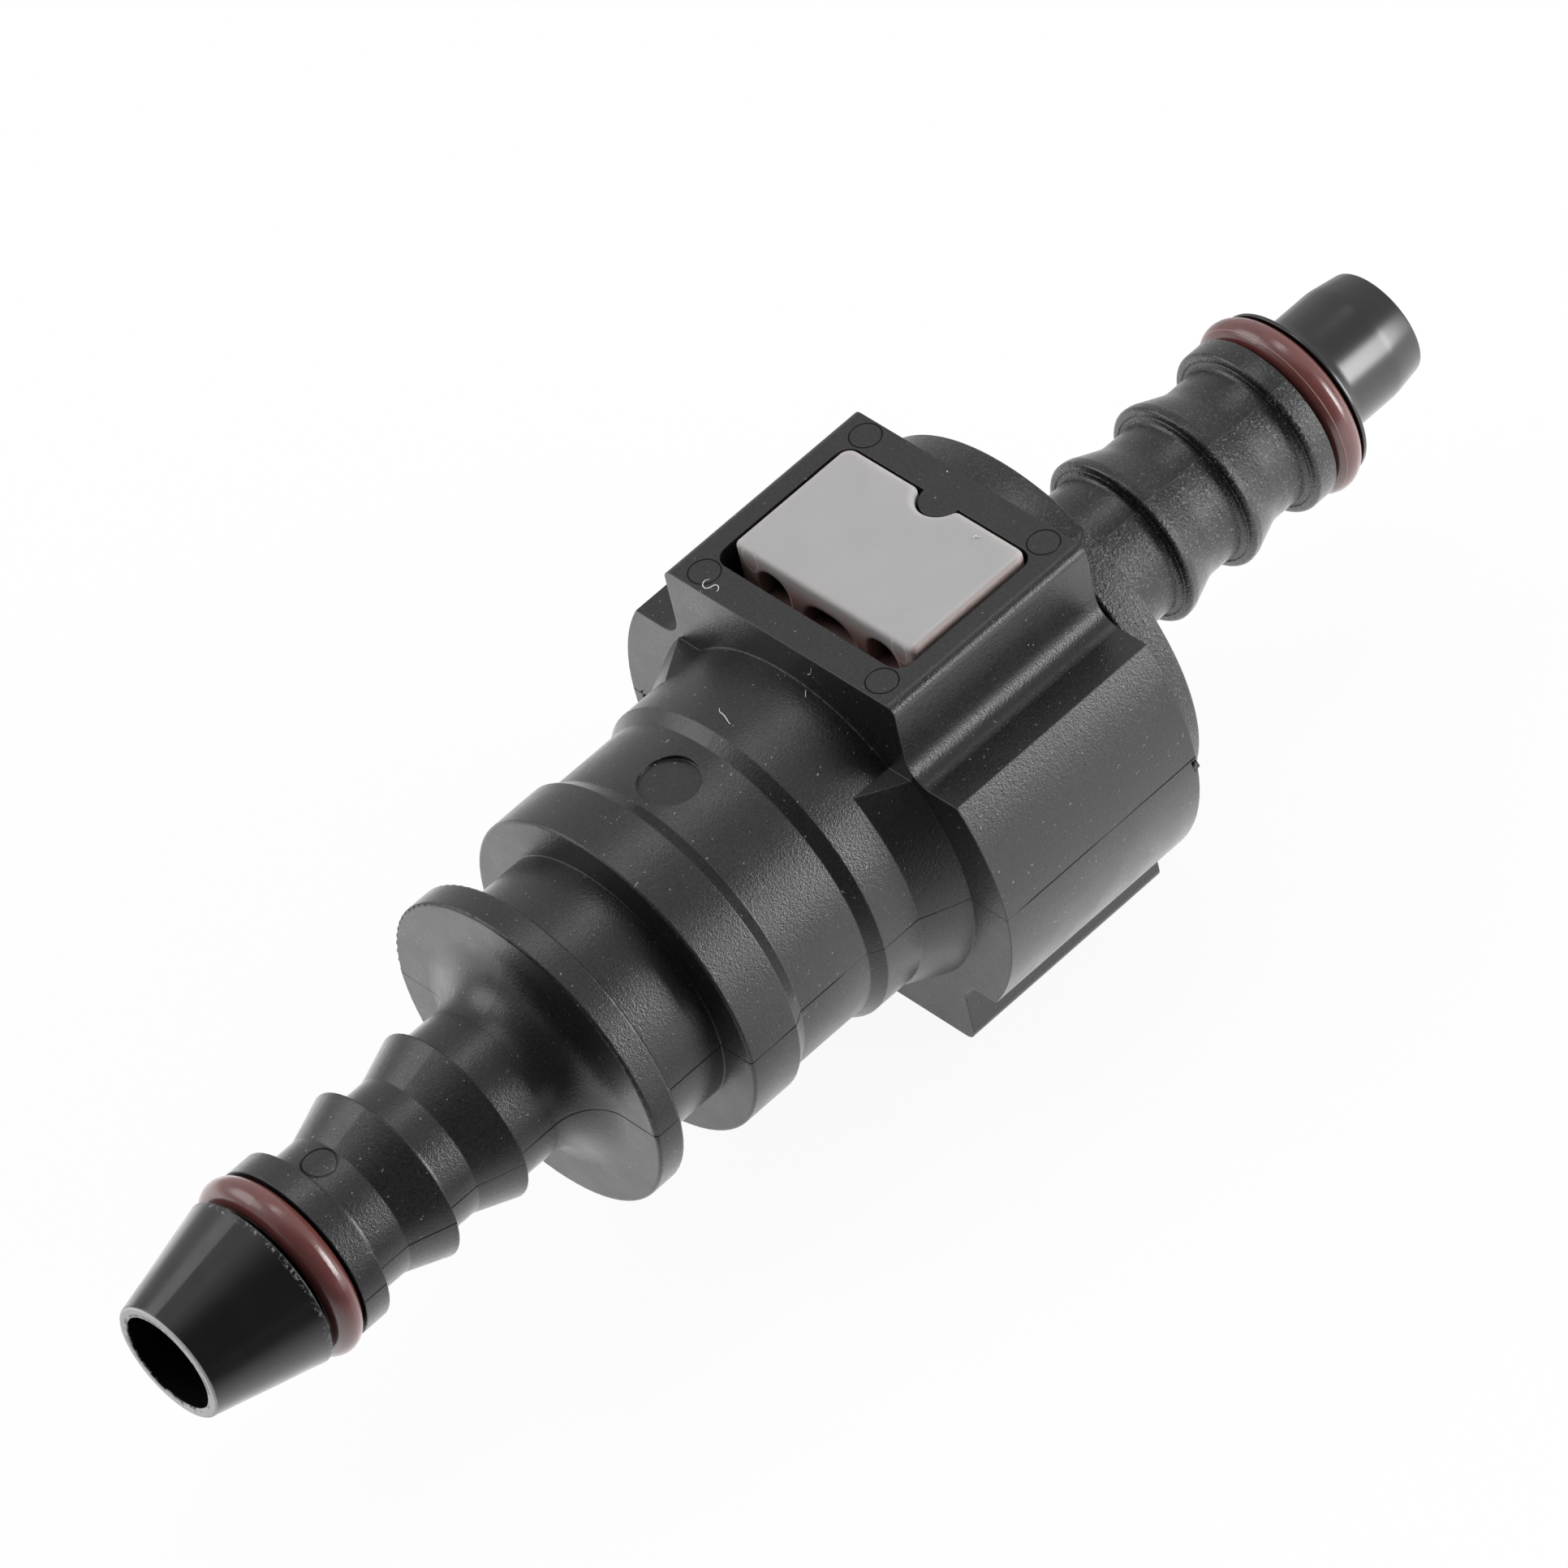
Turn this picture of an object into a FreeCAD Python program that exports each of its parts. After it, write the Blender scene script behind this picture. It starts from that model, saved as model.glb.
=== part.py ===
import FreeCAD, Part
import math
import os

Vector = FreeCAD.Vector

# Fuel line quick connector: a socket half and a plug half, latched together by a push-button clip.
# Millimetres. The flow axis is X, from the open end of the socket's hose stem towards the plug's
# hose end. Z points up through the button. Heights and walls are measured from what they stand on.

# Flow passage and hose stems, shared by both halves
stem_bore_radius = 2.5
stem_wall = 1.21
stem_groove_wall = 0.62
stem_ring_section = 1.6
ring_seat_gap = 0.02
barb_ramp = 2.2
barb_root_round = 0.4
tip_round = 0.15

# Socket hose stem, from its open end
socket_nose_length = 5.6
socket_tip_wall = 0.5
socket_nose_height = 0.69
socket_groove_width = 2.0
socket_barb_height = 0.8
socket_land = 1.35
socket_first_neck = 2.05
socket_barb_gap = 2.0
socket_neck_height = 0.27
socket_neck = 4.45
flare_radius = 2.1

# Fork groove and seal barrel of the socket
fork_disc_thickness = 1.5
fork_disc_height = 1.52
fork_groove_wall = 1.81
fork_groove_width = 4.0
collar_length = 2.8
collar_slope = 0.7
collar_height = 0.42
barrel_length = 4.15
barrel_wall = 1.45
step_slope = 0.65
band_length = 2.15
band_height = 0.43
skirt_length = 2.25
skirt_flare = 1.02
mark_radius = 1.45
mark_centre = 1.85
mark_depth = 0.25

# Latch housing: a drum with a square block through it. This is the hardest form of the part, because
# the drum, the block, the skirt and the button's window all meet in one moulding.
housing_length = 12.0
housing_radius = 11.8
rail_front = 1.75
rail_rear = 1.7
upper_shelf = 6.15
lower_shelf = 6.9
shelf_fillet = 1.15
block_wall = 0.55
block_edge_round = 0.5
base_wall = 0.75
base_edge_round = 0.6
window_ledge = 0.8
window_corner = 0.8
slot_step = 0.45
keeper_step = 0.4
keeper_height = 0.6

# Spigot, its seals and their bores
spigot_radius = 4.745
spigot_wall = 1.445
spigot_chamfer = 0.7
spigot_end_gap = 0.3
running_clearance = 0.095
guide_bore_length = 4.4
flow_cone = 3.3
chamber_wall = 0.8
chamber_mouth_relief = 0.1
seal_annulus = 1.905
seal_gap = 0.03
seal_side_gap = 0.28
spacer_length = 1.2
bush_fit_gap = 0.1
bush_neck = 2.2
bush_end_gap = 0.3
bush_lead = 0.5
snap_groove_width = 1.8
snap_groove_depth = 0.45
snap_ridge_gap = 0.15

# Plug half
bead_height = 0.855
bead_length = 0.85
bead_ramp = 0.8
bead_clip_gap = 0.3
bead_mouth_gap = 0.35
guide_shoulder = 1.9
disc_gap = 0.12
plug_disc_thickness = 1.83
plug_disc_radius = 10.02
plug_neck = 5.4
plug_barb_height = 0.72
plug_crest_round = 0.2
plug_valley_round = 2.0
plug_barb_gap = 1.95
plug_land = 1.2
plug_groove_width = 1.8
plug_lip = 0.2
plug_throat = 1.45
plug_nose_wall = 0.55
plug_nose_length = 2.25
plug_nose_taper = 1.7
plug_nose_drop = 0.27

# Release clip
press_travel = 1.3
bead_passage_gap = 0.1
frame_wall = 0.85
frame_side_gap = 0.1
frame_shoulder = 5.7
frame_shoulder_gap = 0.3
frame_corner = 0.8
frame_waist = 4.0
frame_bottom = 6.9
frame_foot_step = 0.65
frame_setback = 1.9
lip_half_width = 4.0
lip_clearance = 0.15
pad_front_gap = 1.12
pad_rear_gap = 0.18
pad_side_gap = 0.25
pad_front_corner = 0.3
pad_rear_corner = 0.6
pad_edge_round = 0.3
pad_rise = 0.3
pad_bridge = 0.9
pad_cover = 0.8
pad_floor = 0.6
pocket_height = 2.1
pocket_back_wall = 1.7
side_pocket_inner = 2.4
side_pocket_outer = 4.4
side_pocket_round = 0.95
middle_pocket_half_width = 1.65
middle_pocket_drop = 0.35
middle_pocket_round = 1.3
tongue_radius = 1.05
tongue_gap = 0.13
notch_lip_round = 0.35
leaf_thickness = 0.8
leaf_depth = 3.6
leaf_sag = 1.5
leaf_end_gap = 0.12
leaf_keeper_gap = 0.05


def rounded_edges(corners, to_space):
    """Closed chain of lines through flat corners; a corner's third value is its rounding radius."""
    entries, middles, exits = [], [], []
    for index, corner in enumerate(corners):
        here = Vector(corner[0], corner[1], 0)
        radius = corner[2] if len(corner) > 2 else 0
        if radius == 0:
            entries.append(here)
            middles.append(None)
            exits.append(here)
            continue
        before, after = corners[index - 1], corners[(index + 1) % len(corners)]
        back = (Vector(before[0], before[1], 0) - here).normalize()
        ahead = (Vector(after[0], after[1], 0) - here).normalize()
        half_angle = back.getAngle(ahead) / 2
        inward = (back + ahead).normalize()
        reach = radius / math.tan(half_angle)
        entries.append(here + back * reach)
        middles.append(here + inward * (radius / math.sin(half_angle) - radius))
        exits.append(here + ahead * reach)
    edges = []
    for index, middle in enumerate(middles):
        if middle is not None:
            points = [to_space(flat) for flat in (entries[index], middle, exits[index])]
            edges.append(Part.Arc(*points).toShape())
        following = entries[(index + 1) % len(entries)]
        if (following - exits[index]).Length > 1e-6:
            edges.append(Part.makeLine(to_space(exits[index]), to_space(following)))
    return edges


def face_from(corners, to_space):
    """Flat face inside a rounded outline."""
    return Part.Face(Part.Wire(rounded_edges(corners, to_space)))


def turned(corners):
    """Solid of revolution about the flow axis from corners (x, radius[, rounding])."""
    face = face_from(corners, lambda flat: Vector(flat.x, 0, flat.y))
    return face.revolve(Vector(0, 0, 0), Vector(1, 0, 0), 360)


def along_x(corners, start, length):
    """Section given as (y, z[, rounding]), carried along X."""
    face = face_from(corners, lambda flat: Vector(start, flat.x, flat.y))
    return face.extrude(Vector(length, 0, 0))


def along_z(corners, start, length):
    """Plan given as (x, y[, rounding]), carried upwards."""
    face = face_from(corners, lambda flat: Vector(flat.x, flat.y, start))
    return face.extrude(Vector(0, 0, length))


def round_bar(radius, start, length):
    """Cylinder along the flow axis."""
    return Part.makeCylinder(radius, length, Vector(start, 0, 0), Vector(1, 0, 0))


def mirrored(corners):
    """A section's right half from top to bottom, closed by its mirror image."""
    return corners + [(-corner[0],) + tuple(corner[1:]) for corner in reversed(corners)]


def o_ring(x, inner_radius, section):
    """O-ring centred at x."""
    return Part.makeTorus(inner_radius + section / 2, section / 2, Vector(x, 0, 0), Vector(1, 0, 0))


# Radii of the stems
stem_root_radius = stem_bore_radius + stem_wall
stem_groove_radius = stem_bore_radius + stem_groove_wall
socket_barb_radius = stem_root_radius + socket_barb_height
plug_barb_radius = stem_root_radius + plug_barb_height
plug_nose_radius = stem_bore_radius + plug_nose_wall

# Radii from the spigot outwards
guide_radius = spigot_radius + running_clearance
spigot_bore_radius = spigot_radius - spigot_wall
chamber_radius = spigot_radius + seal_annulus
snap_radius = chamber_radius + snap_groove_depth
bush_radius = chamber_radius - bush_fit_gap
fork_groove_radius = guide_radius + fork_groove_wall
barrel_radius = chamber_radius + barrel_wall
band_radius = barrel_radius + band_height
skirt_radius = band_radius + skirt_flare
bead_radius = spigot_radius + bead_height
mouth_radius = bead_radius + bead_mouth_gap

# Half widths and heights of the clip and of the housing around it
passage_radius = bead_radius + bead_passage_gap
passage_top = passage_radius + press_travel + bead_passage_gap
frame_half_width = passage_radius + frame_wall
cavity_half_width = frame_half_width + frame_side_gap
window_half_width = cavity_half_width - window_ledge
pad_half_width = window_half_width - pad_side_gap
slot_half_width = cavity_half_width - slot_step
keeper_half_width = slot_half_width - keeper_step
block_half_width = cavity_half_width + block_wall
base_half_width = cavity_half_width + base_wall
ledge_level = frame_shoulder + frame_shoulder_gap
pocket_floor = passage_top + pad_bridge
pad_base = pocket_floor - pad_floor
pad_top = pocket_floor + pocket_height + pad_cover
block_top = pad_top - pad_rise
leaf_crown = frame_bottom + 3 * leaf_thickness / 4
keeper_level = leaf_crown + leaf_sag + press_travel + leaf_keeper_gap
block_bottom = keeper_level + keeper_height

# Stations of the socket along the flow axis
socket_groove_start = socket_nose_length
socket_groove_end = socket_groove_start + socket_groove_width
first_barb_start = socket_groove_end + socket_land + socket_first_neck
first_barb_end = first_barb_start + barb_ramp
second_barb_start = first_barb_end + socket_barb_gap
second_barb_end = second_barb_start + barb_ramp
disc_face = second_barb_end + socket_neck
disc_back = disc_face + fork_disc_thickness
collar_start = disc_back + fork_groove_width
collar_end = collar_start + collar_length
barrel_start = collar_end + collar_slope
barrel_end = barrel_start + barrel_length
band_start = barrel_end + step_slope
band_end = band_start + band_length
housing_front = band_end + skirt_length
housing_rear = housing_front + housing_length
cavity_front = housing_front + rail_front
cavity_rear = housing_rear - rail_rear

# Stations of the clip and of the locking bead
pad_front = cavity_front + pad_front_gap
pad_rear = cavity_rear - pad_rear_gap
frame_rear = pad_rear - frame_setback
frame_depth = frame_rear - pad_front
bead_end = pad_front - bead_clip_gap
bead_start = bead_end - bead_length
bead_foot = bead_start - bead_ramp

# Stations of the seals
seal_section = seal_annulus - 2 * seal_gap
chamber_start = collar_start + chamber_wall
guide_start = chamber_start - guide_bore_length
spigot_tip = guide_start + spigot_end_gap
inner_seal = chamber_start + seal_side_gap + seal_section / 2
spacer_start = inner_seal + seal_section / 2 + seal_side_gap
outer_seal = spacer_start + spacer_length + seal_side_gap + seal_section / 2
bush_start = outer_seal + seal_section / 2 + seal_side_gap
bush_end = bead_foot - bush_end_gap
snap_start = bush_start + bush_neck
snap_end = snap_start + snap_groove_width

# Stations of the plug
plug_disc_front = housing_rear + disc_gap
plug_disc_rear = plug_disc_front + plug_disc_thickness
barb_pitch = barb_ramp + plug_barb_gap
first_plug_barb = plug_disc_rear + plug_neck
last_plug_barb = first_plug_barb + 2 * barb_pitch
plug_groove_start = last_plug_barb + plug_land
plug_groove_end = plug_groove_start + plug_groove_width
lip_end = plug_groove_end + plug_lip
nose_start = lip_end + plug_throat
taper_start = nose_start + plug_nose_length
plug_end = taper_start + plug_nose_taper


def socket_outside():
    """Turned outside of the socket: nose, seal groove, barbs, fork groove and barrel."""
    land_end = socket_groove_end + socket_land
    stem = [
        (0, 0),
        (0, stem_bore_radius + socket_tip_wall, tip_round),
        (socket_groove_start, stem_root_radius + socket_nose_height),
        (socket_groove_start, stem_groove_radius),
        (socket_groove_end, stem_groove_radius),
        (socket_groove_end, socket_barb_radius),
        (land_end, socket_barb_radius),
        (land_end, stem_root_radius, barb_root_round),
        (first_barb_start, stem_root_radius),
        (first_barb_end, socket_barb_radius),
        (first_barb_end, stem_root_radius, barb_root_round),
        (second_barb_start, stem_root_radius),
        (second_barb_end, socket_barb_radius),
        (second_barb_end, stem_root_radius + socket_neck_height),
        (disc_face, stem_root_radius + socket_neck_height, flare_radius),
    ]
    drum_depth = housing_front + rail_front / 2
    barrel = [
        (disc_face, fork_groove_radius + fork_disc_height, tip_round),
        (disc_back, fork_groove_radius + fork_disc_height, tip_round),
        (disc_back, fork_groove_radius),
        (collar_start, fork_groove_radius),
        (collar_start, barrel_radius + collar_height, tip_round),
        (collar_end, barrel_radius + collar_height),
        (barrel_start, barrel_radius),
        (barrel_end, barrel_radius),
        (band_start, band_radius),
        (drum_depth, band_radius),
        (drum_depth, 0),
    ]
    return turned(stem + barrel)


def socket_skirt():
    """Conical skirt at the front of the drum; it stops at the level of the upper shelf."""
    drum_depth = housing_front + rail_front / 2
    cone = turned([
        (band_end, 0),
        (band_end, band_radius),
        (housing_front, skirt_radius),
        (drum_depth, skirt_radius),
        (drum_depth, 0),
    ])
    below = Part.makeBox(drum_depth - band_end, 2 * skirt_radius, skirt_radius + upper_shelf,
                         Vector(band_end, -skirt_radius, -skirt_radius))
    return cone.common(below)


def housing_block():
    """Latch housing: the drum's flanks, cut flat at both shelves, with the square block through it."""
    upper_corner = math.sqrt(housing_radius ** 2 - upper_shelf ** 2)
    lower_corner = math.sqrt(housing_radius ** 2 - lower_shelf ** 2)
    block = along_x(mirrored([
        (block_half_width, block_top, block_edge_round),
        (block_half_width, upper_shelf, shelf_fillet),
        (upper_corner, upper_shelf),
        (lower_corner, -lower_shelf),
        (base_half_width, -lower_shelf, shelf_fillet),
        (base_half_width, -block_bottom, base_edge_round),
    ]), housing_front, housing_length)
    between_shelves = Part.makeBox(housing_length, 2 * housing_radius, upper_shelf + lower_shelf,
                                   Vector(housing_front, -housing_radius, -lower_shelf))
    flanks = round_bar(housing_radius, housing_front, housing_length).common(between_shelves)
    return block.fuse(flanks)


def clip_window(start, height):
    """Button window with rounded corners; a half-round tongue on its rear side stays solid."""
    plan = along_z([
        (cavity_front, -window_half_width, window_corner),
        (cavity_rear, -window_half_width, window_corner),
        (cavity_rear, window_half_width, window_corner),
        (cavity_front, window_half_width, window_corner),
    ], start, height)
    return plan.cut(Part.makeCylinder(tongue_radius, height, Vector(cavity_rear, 0, start)))


def socket_cavities():
    """Flow passage, guide bore, seal chamber, clip cavity, button window, spigot mouth and round mark."""
    past = 1.0
    passage = turned([
        (-past, 0),
        (-past, stem_bore_radius),
        (guide_start - flow_cone, stem_bore_radius),
        (guide_start, spigot_bore_radius),
        (guide_start, guide_radius),
        (chamber_start, guide_radius),
        (chamber_start, chamber_radius),
        (snap_start, chamber_radius),
        (snap_start, snap_radius),
        (snap_end, snap_radius),
        (snap_end, chamber_radius + chamber_mouth_relief),
        (cavity_front + past, chamber_radius + chamber_mouth_relief),
        (cavity_front + past, 0),
    ])
    mouth = round_bar(mouth_radius, cavity_rear - past, rail_rear + 2 * past)
    cavity = along_x(mirrored([
        (cavity_half_width, ledge_level),
        (cavity_half_width, -lower_shelf),
        (slot_half_width, -lower_shelf),
        (slot_half_width, -keeper_level),
        (keeper_half_width, -keeper_level),
        (keeper_half_width, -block_bottom - past),
    ]), cavity_front, cavity_rear - cavity_front)
    window = clip_window(ledge_level - past, block_top - ledge_level + 2 * past)
    mark_floor = Vector(barrel_start + mark_centre, 0, barrel_radius - mark_depth)
    mark = Part.makeCylinder(mark_radius, past, mark_floor)
    return [passage, mouth, cavity, window, mark]


def make_socket_body():
    """One moulding: hose stem, fork groove, seal barrel and latch housing."""
    body = socket_outside().fuse([socket_skirt(), housing_block()])
    return body.cut(socket_cavities()).removeSplitter()


def make_plug_body():
    """One moulding: spigot with locking bead, guide shoulder, disc and three-barb hose stem."""
    shoulder_start = plug_disc_front - guide_shoulder
    shoulder_radius = mouth_radius - running_clearance
    spigot = [
        (spigot_tip, 0),
        (spigot_tip, spigot_radius - spigot_chamfer / 2),
        (spigot_tip + spigot_chamfer, spigot_radius),
        (bead_foot, spigot_radius),
        (bead_start, bead_radius),
        (bead_end, bead_radius),
        (bead_end, spigot_radius),
        (shoulder_start, spigot_radius),
        (shoulder_start, shoulder_radius, tip_round),
        (plug_disc_front, shoulder_radius),
        (plug_disc_front, plug_disc_radius, tip_round),
        (plug_disc_rear, plug_disc_radius, tip_round),
        (plug_disc_rear, stem_root_radius, barb_root_round),
    ]
    barbs = []
    for crest in (first_plug_barb, first_plug_barb + barb_pitch):
        barbs += [
            (crest, stem_root_radius, barb_root_round),
            (crest, plug_barb_radius, plug_crest_round),
            (crest + barb_ramp, stem_root_radius, plug_valley_round),
        ]
    nose = [
        (last_plug_barb, stem_root_radius, barb_root_round),
        (last_plug_barb, plug_barb_radius, plug_crest_round),
        (plug_groove_start, plug_barb_radius),
        (plug_groove_start, stem_groove_radius),
        (plug_groove_end, stem_groove_radius),
        (plug_groove_end, plug_barb_radius),
        (lip_end, plug_barb_radius),
        (lip_end, plug_nose_radius, plug_barb_radius - plug_nose_radius - tip_round),
        (taper_start, plug_nose_radius),
        (plug_end, plug_nose_radius - plug_nose_drop, tip_round),
        (plug_end, 0),
    ]
    passage = turned([
        (spigot_tip - 1, 0),
        (spigot_tip - 1, spigot_bore_radius),
        (plug_disc_rear - flow_cone / 2, spigot_bore_radius),
        (plug_disc_rear + flow_cone / 2, stem_bore_radius),
        (plug_end + 1, stem_bore_radius),
        (plug_end + 1, 0),
    ])
    return turned(spigot + barbs + nose).cut(passage)


def make_seal_spacer():
    """Plain ring between the two spigot seals."""
    return round_bar(bush_radius, spacer_start, spacer_length).cut(
        round_bar(guide_radius, spacer_start, spacer_length))


def make_seal_bush():
    """Guide bush that snaps into the chamber and keeps the seals in; its ridge has a lead-in slope."""
    ridge_radius = snap_radius - snap_ridge_gap
    ridge_start = snap_start + snap_ridge_gap
    ridge_end = snap_end - snap_ridge_gap
    return turned([
        (bush_start, guide_radius),
        (bush_start, bush_radius),
        (ridge_start, bush_radius),
        (ridge_start + bush_lead, ridge_radius),
        (ridge_end, ridge_radius),
        (ridge_end, bush_radius),
        (bush_end, bush_radius),
        (bush_end, guide_radius + bush_lead),
        (bush_end - bush_lead, guide_radius),
    ])


def pad_pocket(low, high, roof, rounding):
    """Cored pocket with a rounded roof, open at the pad's front."""
    section = [(low, pocket_floor), (low, roof, rounding), (high, roof, rounding), (high, pocket_floor)]
    return along_x(section, pad_front - 1, pad_rear - pocket_back_wall - pad_front + 1)


def clip_pad():
    """Button pad: rounded block with a half-round notch behind and three cored pockets in front."""
    block = along_z([
        (pad_front, -pad_half_width, pad_front_corner),
        (pad_rear, -pad_half_width, pad_rear_corner),
        (pad_rear, pad_half_width, pad_rear_corner),
        (pad_front, pad_half_width, pad_front_corner),
    ], pad_base, pad_top - pad_base)
    notch = Part.makeCylinder(tongue_radius + tongue_gap, pad_top, Vector(cavity_rear, 0, pad_base))
    block = block.cut(notch)
    lips = [edge for edge in block.Edges
            if edge.BoundBox.ZLength > pad_rise and edge.BoundBox.XLength < pad_rise
            and edge.BoundBox.XMax > frame_rear and abs(edge.BoundBox.YMax) < 2 * tongue_radius]
    block = block.makeFillet(notch_lip_round, lips)
    crown = [edge for edge in block.Edges if edge.BoundBox.ZMin > pad_top - pad_edge_round]
    block = block.makeFillet(pad_edge_round, crown)
    side_roof = pocket_floor + pocket_height
    pockets = [
        pad_pocket(-side_pocket_outer, -side_pocket_inner, side_roof, side_pocket_round),
        pad_pocket(-middle_pocket_half_width, middle_pocket_half_width, side_roof - middle_pocket_drop,
                   middle_pocket_round),
        pad_pocket(side_pocket_inner, side_pocket_outer, side_roof, side_pocket_round),
    ]
    return block.cut(pockets)


def clip_frame():
    """Locking frame round the spigot: it lets the bead through only while the button is pressed."""
    outline = along_x(mirrored([
        (pad_half_width, pocket_floor),
        (pad_half_width, frame_shoulder),
        (frame_half_width, frame_shoulder, frame_corner / 2),
        (frame_half_width, -frame_waist),
        (frame_half_width - frame_foot_step, -frame_bottom, frame_corner),
    ]), pad_front, frame_depth)
    raised = passage_top - passage_radius
    opening = round_bar(passage_radius, pad_front, frame_depth)
    above = opening.translated(Vector(0, 0, raised))
    between = Part.makeBox(frame_depth, 2 * passage_radius, raised, Vector(pad_front, -passage_radius, 0))
    lip_corner = Vector(pad_front, -lip_half_width, -frame_bottom)
    lip = Part.makeBox(frame_depth, 2 * lip_half_width, frame_bottom, lip_corner)
    lip = lip.cut(round_bar(spigot_radius + lip_clearance, pad_front, frame_depth))
    return outline.cut([opening, above, between]).fuse(lip)


def clip_leaf():
    """Bow spring moulded under the frame; its ends bear on the keepers of the housing."""
    half_width = slot_half_width - leaf_end_gap
    inner_radius = (half_width ** 2 + leaf_sag ** 2) / (2 * leaf_sag)
    start = Vector(pad_front + (frame_depth - leaf_depth) / 2, 0, -leaf_crown - inner_radius)
    along = Vector(1, 0, 0)
    bow = Part.makeCylinder(inner_radius + leaf_thickness, leaf_depth, start, along)
    bow = bow.cut(Part.makeCylinder(inner_radius, leaf_depth, start, along))
    keep = Part.makeBox(leaf_depth, 2 * half_width, 2 * inner_radius, start - Vector(0, half_width, 0))
    return bow.common(keep)


def make_release_clip():
    """One moulding: button pad, locking frame and bow spring."""
    return clip_pad().fuse([clip_frame(), clip_leaf()]).removeSplitter()


stem_ring_inset = stem_ring_section / 2 + ring_seat_gap
socket_ring = socket_groove_end - stem_ring_inset
plug_ring = plug_groove_end - stem_ring_inset
stem_ring_inner_radius = stem_groove_radius + ring_seat_gap
seal_inner_radius = spigot_radius + seal_gap

pieces = {
    "socket_body": make_socket_body(),
    "plug_body": make_plug_body(),
    "release_clip": make_release_clip(),
    "socket_stem_o_ring": o_ring(socket_ring, stem_ring_inner_radius, stem_ring_section),
    "plug_stem_o_ring": o_ring(plug_ring, stem_ring_inner_radius, stem_ring_section),
    "spigot_o_ring_inner": o_ring(inner_seal, seal_inner_radius, seal_section),
    "spigot_o_ring_outer": o_ring(outer_seal, seal_inner_radius, seal_section),
    "seal_spacer": make_seal_spacer(),
    "seal_bush": make_seal_bush(),
}

os.makedirs("parts", exist_ok=True)
for name, shape in pieces.items():
    shape.exportStep("parts/" + name + ".step")
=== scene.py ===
import math

import bpy
import numpy as np
from mathutils import Matrix, Vector


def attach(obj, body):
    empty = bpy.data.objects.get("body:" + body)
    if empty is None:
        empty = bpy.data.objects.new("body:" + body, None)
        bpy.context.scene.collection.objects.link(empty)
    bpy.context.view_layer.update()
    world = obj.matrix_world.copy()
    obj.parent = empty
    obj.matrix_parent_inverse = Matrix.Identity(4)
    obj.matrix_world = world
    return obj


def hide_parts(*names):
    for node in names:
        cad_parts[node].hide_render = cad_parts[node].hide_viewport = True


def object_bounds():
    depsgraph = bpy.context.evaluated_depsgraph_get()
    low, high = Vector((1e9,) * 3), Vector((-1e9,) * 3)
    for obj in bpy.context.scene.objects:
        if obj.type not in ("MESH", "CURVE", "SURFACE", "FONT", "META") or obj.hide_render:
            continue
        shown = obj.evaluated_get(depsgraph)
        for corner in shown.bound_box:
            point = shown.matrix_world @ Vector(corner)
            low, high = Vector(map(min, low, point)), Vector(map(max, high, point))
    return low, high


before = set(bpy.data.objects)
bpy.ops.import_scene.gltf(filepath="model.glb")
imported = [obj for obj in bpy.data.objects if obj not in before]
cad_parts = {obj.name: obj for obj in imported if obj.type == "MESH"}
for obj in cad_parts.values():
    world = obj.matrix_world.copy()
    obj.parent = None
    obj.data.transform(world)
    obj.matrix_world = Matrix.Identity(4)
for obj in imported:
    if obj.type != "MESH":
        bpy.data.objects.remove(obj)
cad_low, cad_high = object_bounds()


# Socket half: hose stem, seal barrel and latch housing in one moulding of black nylon. The fine grain of its
# spark-eroded tool gives a silky sheen, and the nose is polished. The tool's halves met at z = 0, and its
# ejector pins left thin rings on the frame round the button and on the stem's first neck.
MM = 0.001
nose_end, fray_radius, mouth_radius, rim_radius, rim_depth = 5.5, 4.3, 2.60, 3.05, 0.10
neck_middle, neck_top, neck_pin_radius = 10.15, 3.6, 0.8
frame_middle, frame_top, pin_along, pin_across, frame_pin_radius = 46.1, 10.5, 5.07, 5.55, 0.75
block_front, barrel_radius = 40.0, 8.53
parting_width, frame_ring_width, neck_ring_width, witness_width = 0.04, 0.035, 0.05, 0.03


def linear(text):
    """Linear colour of an sRGB hex text: c / 12.92 up to 0.04045, above it ((c + 0.055) / 1.055) ^ 2.4."""
    values = [int(text[i:i + 2], 16) / 255 for i in (1, 3, 5)]
    return [v / 12.92 if v <= 0.04045 else ((v + 0.055) / 1.055) ** 2.4 for v in values] + [1.0]


def emptied(owner):
    """Node tree of a material or of the world, with nothing in it."""
    owner.use_nodes = True
    owner.node_tree.nodes.clear()
    return owner.node_tree


def node(kind, *values, out=0, **named):
    """Adds one node to tree, the node tree in hand, and gives back one of its outputs.

    Values fill its inputs in order, and None leaves one as it is. A name with a capital is an input too, and
    any other name is a setting. A number or a colour is set, and another node's output is linked.
    """
    added = tree.nodes.new("ShaderNode" + kind)
    inputs = [(place, value) for place, value in enumerate(values) if value is not None]
    for name, value in named.items():
        if name[0].isupper():
            inputs.append((name.replace("_", " "), value))
        else:
            setattr(added, name, value)
    for place, value in inputs:
        if isinstance(value, bpy.types.NodeSocket):
            tree.links.new(value, added.inputs[place])
        else:
            added.inputs[place].default_value = value
    return added.outputs[out] if added.outputs else None


smooth = {"interpolation_type": "SMOOTHSTEP"}


def millimetres():
    """Object coordinates in millimetres: the vector, x, y and z. A noise's scale is then grains per mm."""
    vector = node("VectorMath", node("TexCoord", out="Object"), Scale=1000, operation="SCALE")
    return vector, *(node("SeparateXYZ", vector, out=axis) for axis in range(3))


def overlap(*masks):
    """1 where every mask is 1: the masks' product."""
    product = masks[0]
    for mask in masks[1:]:
        product = node("Math", product, mask, operation="MULTIPLY")
    return product


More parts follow.
